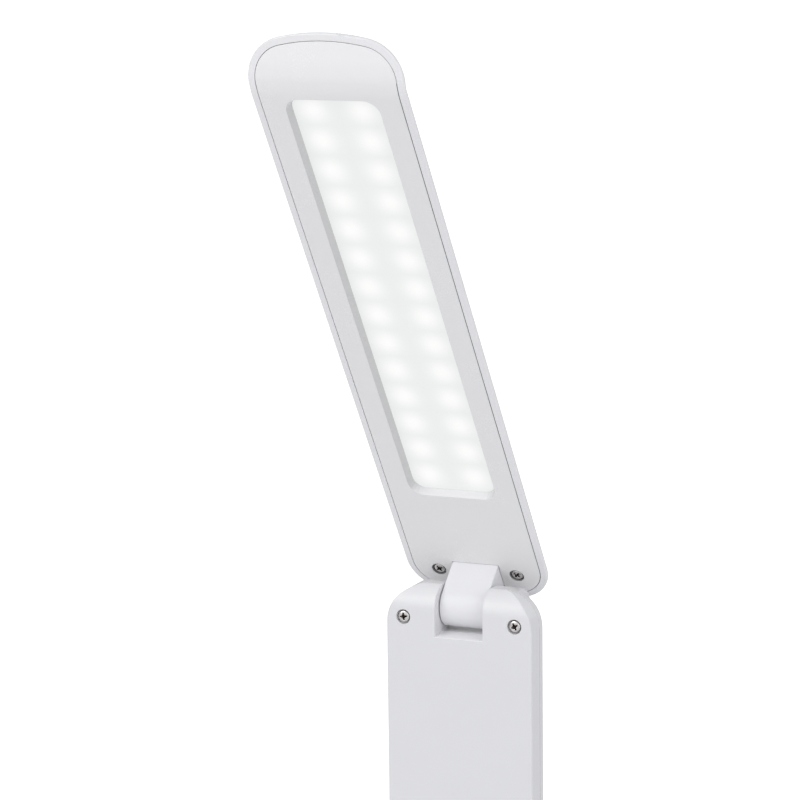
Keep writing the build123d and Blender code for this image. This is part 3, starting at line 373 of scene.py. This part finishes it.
def recess_bit():
    """The driver's shape: two crossed wings that narrow downwards, round a blunt core."""
    work = bmesh.new()
    for turn in (0, 90):
        rim, foot = [], []
        for ring, half, wide, height in ((rim, RECESS_HALF, RECESS_W / 2, RECESS_ABOVE),
                                         (foot, RECESS_HALF * 0.45, RECESS_W * 0.34, -RECESS_DEPTH)):
            for x, y in ((-half, -wide), (half, -wide), (half, wide), (-half, wide)):
                spot = Matrix.Rotation(math.radians(turn), 3, "Z") @ Vector((x, y, height))
                ring.append(work.verts.new(spot))
        work.faces.new(rim)
        work.faces.new(list(reversed(foot)))
        for k in range(4):
            work.faces.new([rim[k], foot[k], foot[(k + 1) % 4], rim[(k + 1) % 4]])
    core = lathe([(0, RECESS_ABOVE), (CORE_TOP_R, RECESS_ABOVE), (CORE_FOOT_R, -RECESS_DEPTH),
                  (0, -RECESS_DEPTH - RECESS_ABOVE)], CORE_SIDES)
    core_mesh = bpy.data.meshes.new("core")
    core.to_mesh(core_mesh)
    core.free()
    work.from_mesh(core_mesh)
    bmesh.ops.recalc_face_normals(work, faces=work.faces)
    return work


def as_object(name, work):
    mesh = bpy.data.meshes.new(name)
    work.to_mesh(mesh)
    work.free()
    made = bpy.data.objects.new(name, mesh)
    bpy.context.scene.collection.objects.link(made)
    return made


def plain_copy(name, source):
    """The evaluated shape of an object as a plain mesh."""
    bpy.context.view_layer.update()
    depsgraph = bpy.context.evaluated_depsgraph_get()
    mesh = bpy.data.meshes.new_from_object(source.evaluated_get(depsgraph))
    mesh.name = name
    return mesh


def screw_pattern(length):
    """One screw along Z with its head's rim at height 0, and `length` to the thread's end."""
    r, h, c = SCREW_HEAD_R, SCREW_HEAD_H, SCREW_CROWN
    neck = THREAD_ROOT_R * 1.1
    crown = [(0, 0), (r * 0.45, -c * 0.2), (r * 0.75, -c * 0.75), (r * 0.9, -c * 1.7), (r * 0.98, -c * 3.2),
             (r, -c * 4.5), (r, -h), (neck, -h), (neck, -h - NECK_LAP), (0, -h - NECK_LAP)]
    head = as_object("screw_head", lathe(crown, HEAD_SIDES))
    bit = as_object("screw_bit", recess_bit())
    cut = head.modifiers.new("recess", "BOOLEAN")
    cut.operation, cut.solver, cut.object, cut.use_self = "DIFFERENCE", "EXACT", bit, True
    round_edge = head.modifiers.new("edge", "BEVEL")
    round_edge.width, round_edge.segments = HEAD_EDGE_R, 2
    round_edge.limit_method, round_edge.angle_limit = "ANGLE", math.radians(35)
    round_edge.use_clamp_overlap = False
    work = bmesh.new()
    work.from_mesh(plain_copy("screw_head", head))
    bpy.data.objects.remove(head)
    bpy.data.objects.remove(bit)
    start, foot = -h - HEAD_LAP, -length
    steps = int((start - foot) / THREAD_PITCH * THREAD_SIDES)
    roots, crests = [], []
    for step in range(steps + 1):
        turn = 2 * math.pi * step / THREAD_SIDES
        z = start - THREAD_PITCH * step / THREAD_SIDES
        shrink = min(1.0, 0.35 + 0.65 * (z - foot) / (2 * THREAD_PITCH))
        for ring, radius, drop in ((roots, THREAD_ROOT_R, 0.0), (crests, THREAD_CREST_R, 0.5)):
            x, y = radius * shrink * math.cos(turn), radius * shrink * math.sin(turn)
            ring.append(work.verts.new((x, y, max(z - THREAD_PITCH * drop, foot - SCREW_TIP * 0.2))))
    for step in range(steps):
        work.faces.new([roots[step], roots[step + 1], crests[step + 1], crests[step]])
        if step + THREAD_SIDES < steps:
            below = roots[step + THREAD_SIDES:step + THREAD_SIDES + 2]
            work.faces.new([crests[step], crests[step + 1], below[1], below[0]])
    top = work.verts.new((0, 0, start + HEAD_LAP * 0.4))
    rim = roots[:THREAD_SIDES + 1] + [crests[0]]
    tip = work.verts.new((0, 0, -length - SCREW_TIP * 0.6))
    end = crests[steps - THREAD_SIDES:steps + 1] + [roots[steps]]
    for loop, centre in ((rim, top), (end, tip)):
        for here, there in zip(loop, loop[1:] + loop[:1]):
            work.faces.new([here, there, centre])
    bmesh.ops.recalc_face_normals(work, faces=work.faces)
    # Painted shade: faces in the cross recess take a near-black colour, and the rim of the head half of it.
    shade = work.faces.layers.float.new("shade")
    for face in work.faces:
        face.smooth = True
        spot = face.calc_center_median()
        away = math.hypot(spot.x, spot.y)
        if away < RECESS_HALF and -h < spot.z < -RECESS_ABOVE:
            face[shade] = 1.0
        elif away > r * 0.93:
            face[shade] = 0.5
    return as_object("screw_pattern", work)


def placing_tree(name, finish):
    """Copies a pattern to every point of a mesh, turned to face one way and spun by its own amount."""
    tree = bpy.data.node_groups.new(name, "GeometryNodeTree")
    tree.is_modifier = True
    for label, kind in (("Points", "NodeSocketGeometry"), ("Pattern", "NodeSocketObject"),
                        ("Facing", "NodeSocketVector")):
        tree.interface.new_socket(label, in_out="INPUT", socket_type=kind)
    tree.interface.new_socket("Placed", in_out="OUTPUT", socket_type="NodeSocketGeometry")
    kinds = {"inputs": "NodeGroupInput", "pattern": "GeometryNodeObjectInfo",
             "spin": "GeometryNodeInputNamedAttribute",
             "face": "FunctionNodeAlignRotationToVector", "turn": "ShaderNodeCombineXYZ",
             "spun": "FunctionNodeEulerToRotation", "both": "FunctionNodeRotateRotation",
             "copies": "GeometryNodeInstanceOnPoints", "whole": "GeometryNodeRealizeInstances",
             "paint": "GeometryNodeSetMaterial", "outputs": "NodeGroupOutput"}
    made = {label: tree.nodes.new(kind) for label, kind in kinds.items()}
    made["spin"].data_type = "FLOAT"
    made["spin"].inputs["Name"].default_value = "spin"
    made["face"].axis = "Z"
    made["both"].rotation_space = "LOCAL"
    made["paint"].inputs["Material"].default_value = finish
    for out_node, output, in_node, socket in (
            ("inputs", "Pattern", "pattern", "Object"), ("inputs", "Facing", "face", "Vector"),
            ("spin", "Attribute", "turn", "Z"), ("turn", "Vector", "spun", "Euler"),
            ("face", "Rotation", "both", "Rotation"), ("spun", "Rotation", "both", "Rotate By"),
            ("inputs", "Points", "copies", "Points"), ("pattern", "Geometry", "copies", "Instance"),
            ("both", "Rotation", "copies", "Rotation"), ("copies", "Instances", "whole", "Geometry"),
            ("whole", "Geometry", "paint", "Geometry"), ("paint", "Geometry", "outputs", "Placed")):
        tree.links.new(made[out_node].outputs[output], made[in_node].inputs[socket])
    return tree


def place_copies(name, tree, pattern, sites, facing, spins, body):
    """A mesh of the pattern at each site, riding on one body."""
    points = bpy.data.meshes.new(name + "_sites")
    points.from_pydata(sites, [], [])
    spin = points.attributes.new("spin", "FLOAT", "POINT")
    for index, degrees in enumerate(spins):
        spin.data[index].value = math.radians(degrees)
    carrier = bpy.data.objects.new(name + "_sites", points)
    bpy.context.scene.collection.objects.link(carrier)
    modifier = carrier.modifiers.new("copies", "NODES")
    modifier.node_group = tree
    sockets = {item.name: item.identifier for item in tree.interface.items_tree if item.in_out == "INPUT"}
    modifier[sockets["Pattern"]] = pattern
    modifier[sockets["Facing"]] = facing
    mesh = plain_copy(name, carrier)
    bpy.data.objects.remove(carrier)
    piece = bpy.data.objects.new(name, mesh)
    bpy.context.scene.collection.objects.link(piece)
    even = piece.modifiers.new("even", "WEIGHTED_NORMAL")
    even.keep_sharp = False
    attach(piece, body)
    return piece


nickel = Finish("screw_nickel", {"Metallic": 1.0})
nickel_cloud = nickel.noise(nickel.place(), 1400.0, 3.0, 0.6)
plated = nickel.blend(nickel_cloud, (0.34, 0.32, 0.31, 1), (0.93, 0.91, 0.89, 1))
# The screws' painted shade in the recess and at the rim, from the attribute set on the pattern.
shaded = nickel.add("ShaderNodeAttribute", {"attribute_name": "shade"}, {}, "Fac")
nickel.set("Base Color", nickel.blend(shaded, plated, (0.04, 0.034, 0.03, 1)))
nickel.set("Roughness", 0.2 + nickel_cloud * 0.16)
screw_tree = placing_tree("screw_sites", nickel.material)

HEAD_LEAN = math.radians(33.8)
head_up = Vector((0, -math.sin(HEAD_LEAN), math.cos(HEAD_LEAN)))
head_out = Vector((0, -math.cos(HEAD_LEAN), -math.sin(HEAD_LEAN)))


def on_head(x, along, behind):
    """A place on the light head: across, along it from the hinge, and behind the hinge axis."""
    return UPPER_HINGE + Vector((x * MM, 0, 0)) + head_up * (along * MM) - head_out * (behind * MM)


UP, DOWN, FRONT = (0, 0, 1), (0, 0, -1), (0, -1, 0)
both_sides = (-1, 1)
four_ways = [(sx, sy) for sx in both_sides for sy in both_sides]
SCREW_SETS = [
    # node, thread's end, sites, facing, spin of each cross
    ("base_screws", 8.5, [Vector((sx * 45, sy * 61, 2.2)) * MM for sx, sy in four_ways],
     DOWN, (12, 55, 80, 31)),
    ("weight_screws", 9.7, [Vector((sx * 40, sy * 24, 13.3)) * MM for sx, sy in four_ways],
     UP, (5, 47, 22, 70)),
    ("base_knuckle_screws", 4.8, [Vector((sx * 19, 50, 21.572)) * MM for sx in both_sides],
     DOWN, (20, 64)),
    ("control_board_screws", 6.5, [Vector((sx * 18, -50 + sx * 13, 10.9)) * MM for sx in both_sides],
     UP, (38, 9)),
    ("lower_arm_screws", 10.5, [LOWER_HINGE + Vector((sx * 21.4, -11.2, 3.2)) * MM for sx in both_sides],
     FRONT, (62, 15)),
    ("upper_arm_screws", 10.5, [UPPER_HINGE + Vector((sx * 21.4, -11.2, -3.2)) * MM for sx in both_sides],
     FRONT, (8, 28)),
    ("head_screws", 7.0, [on_head(sx * 15.1, 4.9, 12.2) for sx in both_sides],
     head_out, (32, 50)),
]
for node, length, sites, facing, spins in SCREW_SETS:
    pattern = screw_pattern(length * MM)
    screws = place_copies(node + "_turned", screw_tree, pattern, sites, facing, spins, body_of_node[node])
    bpy.data.objects.remove(pattern)
    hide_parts(node)

# ==================================================================== controls
# One round push button in the base works a small switch on the control board. The button
# is moulded in a slightly greyer plastic than the shell round it. The board is green, with
# tracks that show through its lacquer, and the switch and the inlet are black.
button_white = moulded("button_white", (0.70, 0.70, 0.72, 1), (0.74, 0.74, 0.76, 1), 0.32)
softened("power_button", 0.15, button_white)

black_moulding = moulded("black_moulding", (0.02, 0.02, 0.022, 1), (0.035, 0.035, 0.037, 1), 0.45,
                         grain=0.01 * MM)
for node in ("tact_switch", "switch_plunger", "dc_jack"):
    softened(node, 0.12, black_moulding)

TRACKS_PER_M = 1250.0
board_mask = Finish("green_solder_mask", {"IOR": 1.5, "Coat Weight": 0.3})
board_place = board_mask.place()
board_split = board_mask.add("ShaderNodeSeparateXYZ", {}, {"Vector": board_place}, "X")
tracks = (board_split * TRACKS_PER_M).maths("SINE").maths("GREATER_THAN", 0.55)
weave = board_mask.noise(board_place, 1100.0, 2.0)
board_mask.set("Base Color", board_mask.blend(tracks * 0.6 + weave * 0.4, (0.012, 0.10, 0.045, 1),
                                              (0.03, 0.19, 0.085, 1)))
board_mask.set("Roughness", 0.3 + weave * 0.15)
board_mask.set("Normal", board_mask.relief(tracks * 0.8 + weave * 0.2, 0.03 * MM, 0.7))
softened("control_board", 0.1, board_mask.material)

# ==================================================================== inlet and leads
# The power inlet is a round socket with a brass pin in the back of the base. A round
# two-core lead runs from it to the board, and on through the hollow hinge pivots.
brass = bright_metal("nickel_brass", (0.50, 0.42, 0.24, 1), (0.66, 0.57, 0.34, 1), 0.26, 1200.0)
softened("dc_jack_pin", 0.15, brass)
sheath = moulded("lead_sheath", (0.74, 0.74, 0.73, 1), (0.80, 0.80, 0.79, 1), 0.42, grain=0.006 * MM)
for node in ("power_wire", "base_wire", "arm_wire", "head_wire"):
    softened(node, 0, sheath)

# ==================================================================== hinges
# The same friction hinge sits at both ends of the arm: a steel pin with a washer, disc
# springs and a lock nut on the left, a hollow brass pivot with a clip on the right. The
# lower knuckle is screwed to the base and is as white as the base's shell.
turned_steel = bright_metal("turned_steel", (0.44, 0.43, 0.42, 1), (0.66, 0.65, 0.64, 1), 0.25, 1500.0,
                            (8, 1, 1))
pressed_steel = bright_metal("pressed_steel", (0.40, 0.40, 0.40, 1), (0.60, 0.60, 0.60, 1), 0.36, 700.0,
                             (1, 0.2, 1))
spring_steel = bright_metal("spring_steel", (0.10, 0.10, 0.11, 1), (0.22, 0.22, 0.24, 1), 0.34, 1000.0)
HINGE_PARTS = [
    # node's end, finish, round of its edges in mm, slot
    ("friction_pin", turned_steel, 0.2, "nickel_steel"),
    ("friction_washer", pressed_steel, 0.06, "nickel_steel"),
    ("disc_springs", spring_steel, 0.05, "nickel_steel"),
    ("lock_nut", turned_steel, 0.15, "nickel_steel"),
    ("retaining_clip", spring_steel, 0.06, "nickel_steel"),
    ("hinge_bracket", pressed_steel, 0.15, "nickel_steel"),
    ("hollow_pivot", brass, 0.1, "nickel_brass"),
]
for end in ("lower_", "upper_"):
    for part, finish, edge, slot in HINGE_PARTS:
        softened(end + part, edge, finish)
softened("base_knuckle", 0.15, arm_white)

# ==================================================================== arm
# The flat arm is two smooth white shells that meet in a seam along its sides. The front
# shell rolls back over both ends, and a notch at each end takes the hinge's knuckle.
PARTING_Y, PARTING_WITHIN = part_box("arm_rear_shell")[0][1], 0.1 * MM
NOTCH_ROOM, SEAM_FROM_HINGE = 9.6 * MM, 4 * MM
# Painted light on the front shell: its upper notch's floor, and the roll over the arm's top.
NOTCH_FLOOR_HALF, NOTCH_FLOOR_ABOVE, NOTCH_FLOOR_PAINTED_LIGHT = 9.1 * MM, 290 * MM, 0.8
ROLL_ABOVE, ROLL_PAINTED_LIGHT = 307.8 * MM, 0.3


def in_notch_or_seam(spot):
    """Whether a place is at a notch, or at the flat part of the seam between the arm's shells."""
    straight = LOWER_HINGE.z + SEAM_FROM_HINGE < spot.z < UPPER_HINGE.z - SEAM_FROM_HINGE
    return abs(spot.x) < NOTCH_ROOM or (abs(spot.y - PARTING_Y) < PARTING_WITHIN and straight)


def painted_light_share(middle, facing):
    """The share of painted light: a lighter white on the upper notch's floor, and on the upward faces of the
    roll over the arm's top.
    """
    if abs(middle.x) < NOTCH_FLOOR_HALF and facing.z > 0.9 and middle.z > NOTCH_FLOOR_ABOVE:
        return NOTCH_FLOOR_PAINTED_LIGHT
    return ROLL_PAINTED_LIGHT * max(0.0, facing.z) if middle.z > ROLL_ABOVE else 0.0


def painted_seam_shade(middle, facing):
    """Painted shade: the share of grey on the rear shell's face in the seam."""
    return float(facing.y < -0.9 and middle.y < PARTING_Y + PARTING_WITHIN)


def paint_light_and_shade(piece, share):
    """Gives each face its share of its finish's painted light and shade colour, from the face's middle and its
    direction.
    """
    painted_light_and_shade = piece.data.attributes.new("painted_light_and_shade", "FLOAT", "FACE")
    for face in piece.data.polygons:
        painted_light_and_shade.data[face.index].value = share(face.center, face.normal)


# Grey painted on as shade in the arm's seam and in the head's window and seam walls.
PAINTED_SHADE_GREY = (0.25, 0.25, 0.25, 1)
# The front shell's white, with a lighter white painted on as light on its notch floor and roll.
front_white = moulded("front_white", SHELL_DARK, SHELL_LIGHT, SHELL_GLOSS, painted_light_and_shade=(0.93, 0.93, 0.94, 1))
arm_front = softened("arm_front_shell", 0.25, front_white, wide=in_notch_or_seam)
paint_light_and_shade(arm_front, painted_light_share)
# The rear shell's white, with painted shade on its face in the seam.
rear_white = moulded("rear_white", SHELL_DARK, SHELL_LIGHT, SHELL_GLOSS, painted_light_and_shade=PAINTED_SHADE_GREY)
arm_rear = softened("arm_rear_shell", 0.2, rear_white, wide=in_notch_or_seam)
paint_light_and_shade(arm_rear, painted_seam_shade)

# ==================================================================== light head
# The head is a thin white shell with a glossy panel let into its underside. The knuckle
# that joins it to the arm comes through the panel, between its two screws, and is matt.
head_white = moulded("head_white", (0.765, 0.765, 0.775, 1), (0.795, 0.795, 0.805, 1), 0.28)
softened("head_top_shell", 0.2, head_white)

# Painted shade on the panel's flat: how much grey, and where along the head it fades out.
PANEL_PAINTED_SHADE, PANEL_PAINTED_SHADE_END, PANEL_PAINTED_SHADE_FADE = 0.085, 235 * MM, 8 * MM
WINDOW_BEHIND, WINDOW_HALF, WINDOW_FROM = 12.3 * MM, 16.7 * MM, 43 * MM
SEAM_BEYOND, SEAM_UNTIL = 12 * MM, 222 * MM


def laid_flat(finish):
    """Places measured across and along the light head, from its hinge."""
    return finish.add("ShaderNodeMapping", {"vector_type": "TEXTURE"},
                      {"Vector": finish.place(), "Location": UPPER_HINGE, "Rotation": (HEAD_LEAN, 0, 0)})


def painted_panel_shade(finish):
    """Painted shade: a little of the grey all along the panel, fading out on the slope of its tip so that the
    tip reads lighter.
    """
    along = finish.add("ShaderNodeSeparateXYZ", {}, {"Vector": laid_flat(finish)}, "Z")
    to_tip = (PANEL_PAINTED_SHADE_END - along) / PANEL_PAINTED_SHADE_FADE
    return to_tip.maths("MAXIMUM", 0).maths("MINIMUM", 1) * PANEL_PAINTED_SHADE


def painted_wall_shade(middle, facing):
    """Painted shade: the share of grey on the window's walls, most on its side walls, and on the walls of the
    seam round the panel.
    """
    from_hinge = middle - UPPER_HINGE
    along, behind = from_hinge.dot(head_up), -from_hinge.dot(head_out)
    if abs(facing.dot(head_out)) >= 0.8:
        return 0.0
    if behind > WINDOW_BEHIND and abs(middle.x) < WINDOW_HALF and along > WINDOW_FROM:
        return 0.05 + 0.4 * abs(facing.x) ** 2
    return float(abs(middle.x) > SEAM_BEYOND and along < SEAM_UNTIL)


# The bezel's white, with painted shade on its walls and a faint painted shade on its flat panel.
bezel_white = moulded("bezel_white", (0.81, 0.807, 0.814, 1), (0.84, 0.837, 0.844, 1), 0.26,
                      painted_light_and_shade=PAINTED_SHADE_GREY, more=painted_panel_shade)
bezel = softened("head_bezel", 0.2, bezel_white)
paint_light_and_shade(bezel, painted_wall_shade)
knuckle_white = moulded("knuckle_white", (0.76, 0.76, 0.775, 1), (0.79, 0.79, 0.805, 1), 0.55)
softened("head_knuckle", 0.15, knuckle_white)

# ==================================================================== light
# Behind the window lie an opal acrylic sheet, and an aluminium board with two rows of
# fourteen LED packages on a spreader plate. Each package shows as a soft bright spot.
LED_ROWS, LED_PITCH, LED_SIDE, LED_FIRST = 14, 12.59 * MM, 8.75 * MM, 51.0 * MM
SPOT = 3.5 * MM
opal = Finish("opal_acrylic", {"Base Color": (0.20, 0.205, 0.20, 1), "IOR": 1.49, "Emission Strength": 1.0,
                               "Roughness": 0.3})
flat_place = laid_flat(opal)
across = opal.add("ShaderNodeSeparateXYZ", {}, {"Vector": flat_place}, "X")
along = opal.add("ShaderNodeSeparateXYZ", {}, {"Vector": flat_place}, "Z")
row = ((along - LED_FIRST) / LED_PITCH).maths("ROUND").maths("MAXIMUM", 0).maths("MINIMUM", LED_ROWS - 1)
from_row = along - LED_FIRST - row * LED_PITCH
from_column = across.maths("ABSOLUTE") - LED_SIDE
spot = ((from_row * from_row + from_column * from_column) / (-2 * SPOT * SPOT)).maths("EXPONENT")
cloud = opal.noise(opal.place(), 60.0, 2.0)
opal.set("Emission Color", opal.blend(spot + (cloud - 0.5) * 0.08, (0.635, 0.648, 0.64, 1),
                                      (0.775, 0.775, 0.765, 1)))
softened("diffuser", 0.1, opal.material)

white_mask = moulded("white_solder_mask", (0.78, 0.79, 0.78, 1), (0.84, 0.85, 0.84, 1), 0.35)
softened("led_board", 0.08, white_mask)
rolled_aluminium = bright_metal("rolled_aluminium", (0.62, 0.63, 0.64, 1), (0.78, 0.79, 0.8, 1), 0.38, 800.0,
                                (1, 1, 0.05))
softened("heat_spreader", 0.08, rolled_aluminium)

LED_W, LED_L, LED_H, LED_CORNER_R = 3.5 * MM, 2.8 * MM, 0.7 * MM, 0.25 * MM
LED_FRAME_W, LED_SLOPE_W, LED_SUNK = 0.35 * MM, 0.12 * MM, 0.12 * MM
HEAD_BACK, SHELL_WALL, SPREADER_T, BOARD_T = 22.5, 2.0, 0.5, 1.0
LED_FACE = HEAD_BACK - SHELL_WALL - SPREADER_T - BOARD_T - LED_H / MM
led_work = bmesh.new()
bmesh.ops.create_cube(led_work, size=1.0, matrix=Matrix.Translation((0, 0, -LED_H / 2))
                      @ Matrix.Diagonal((LED_W, LED_L, LED_H, 1)))
led_corners = [edge for edge in led_work.edges if abs(edge.verts[0].co.z - edge.verts[1].co.z) > LED_H / 2]
bmesh.ops.bevel(led_work, geom=led_corners, offset=LED_CORNER_R, segments=2, profile=0.5, affect="EDGES")
lit = led_work.faces.layers.float.new("lit")
led_top = max(led_work.faces, key=lambda face: face.calc_center_median().z)
bmesh.ops.inset_region(led_work, faces=[led_top], thickness=LED_FRAME_W, depth=0)
bmesh.ops.inset_region(led_work, faces=[led_top], thickness=LED_SLOPE_W, depth=-LED_SUNK)
led_top[lit] = 1.0
led_pattern = as_object("led_pattern", led_work)
phosphor = Finish("led_phosphor", {"Emission Strength": 1.0})
lit_share = phosphor.add("ShaderNodeAttribute", {"attribute_name": "lit"}, {}, "Fac")
package_cloud = phosphor.noise(phosphor.place(), 2000.0)
phosphor.set("Base Color", phosphor.blend(lit_share, (0.82, 0.82, 0.80, 1), (0.90, 0.74, 0.22, 1)))
phosphor.set("Roughness", 0.35 + package_cloud * 0.2)
phosphor.set("Emission Color", phosphor.blend(lit_share, (0, 0, 0, 1), (1.0, 0.96, 0.86, 1)))
led_tree = placing_tree("led_sites", phosphor.material)
led_sites = [on_head(side * LED_SIDE / MM, (LED_FIRST + row_index * LED_PITCH) / MM, LED_FACE)
             for row_index in range(LED_ROWS) for side in both_sides]
leds = place_copies("leds_soldered", led_tree, led_pattern, led_sites, head_out, [0] * len(led_sites),
                    body_of_node["leds"])
bpy.data.objects.remove(led_pattern)
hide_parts("leds")
